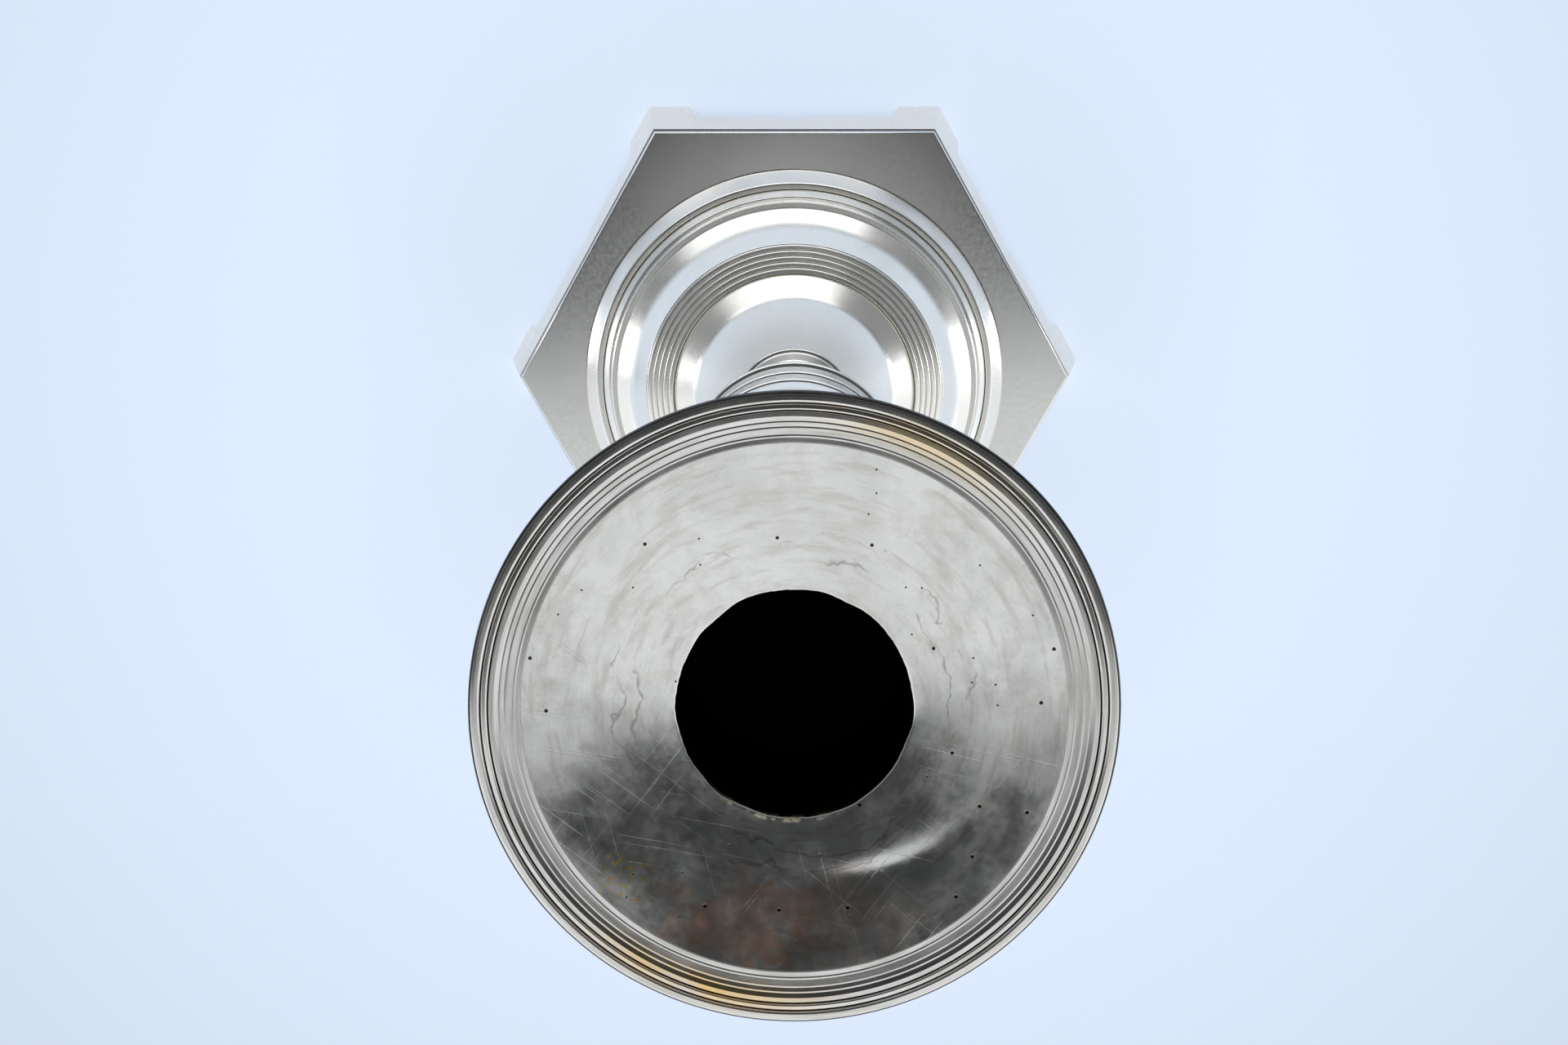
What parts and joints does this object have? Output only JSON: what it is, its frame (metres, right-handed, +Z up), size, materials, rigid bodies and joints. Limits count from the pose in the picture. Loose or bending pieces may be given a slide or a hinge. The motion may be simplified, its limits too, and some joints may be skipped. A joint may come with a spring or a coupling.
{
  "type": "candlestick",
  "caption": "Table candlestick with a hexagonal bracket-footed base, ringed bell boss, knopped round stem and a wide lift-out drip-pan nozzle.",
  "frame": {"origin": "centre of the foot on the surface it stands on", "axes": "+Z up along the stem, +X through two corners of the hexagonal foot, +Y through two of its flats"},
  "size_m": [0.091, 0.0814, 0.2153],
  "materials": {
    "polished_silver": "polished silver with fine scratches and dark recesses",
    "satin_silver": "satin, slightly tarnished silver",
    "worn_silver": "worn polished silver with dried liquid stains, pits and scratches",
    "oxidised_silver": "dark oxidised inside of the candle bore",
    "iron": "dull iron",
    "pitch": "matt pitch loading"
  },
  "bodies": {
    "stick": {"base_plate": "satin_silver", "apron_1": "polished_silver", "apron_2": "polished_silver", "apron_3": "polished_silver", "apron_4": "polished_silver", "apron_5": "polished_silver", "apron_6": "polished_silver", "corner_foot_1": "polished_silver", "corner_foot_2": "polished_silver", "corner_foot_3": "polished_silver", "corner_foot_4": "polished_silver", "corner_foot_5": "polished_silver", "corner_foot_6": "polished_silver", "base_torus": "polished_silver", "base_step": "polished_silver", "base_drum": "polished_silver", "base_reeding": "polished_silver", "base_bell": "polished_silver", "neck_collar": "polished_silver", "lower_shaft": "polished_silver", "mid_knop": "polished_silver", "upper_shaft": "polished_silver", "upper_knop": "polished_silver", "socket_cup": "polished_silver", "socket_rim": "polished_silver", "base_filler": "pitch", "clamp_plate": "iron", "tie_washer": "iron", "tie_nut": "iron", "tie_rod": "iron"},
    "nozzle": {"nozzle_pan": "worn_silver", "nozzle_rim": "polished_silver", "nozzle_sleeve": "oxidised_silver"}
  },
  "joints": [
    {"name": "nozzle_lift", "type": "slide", "parent": "stick", "child": "nozzle", "axis": [0, 0, 1], "range_m": [0, 0.03]}
  ]
}
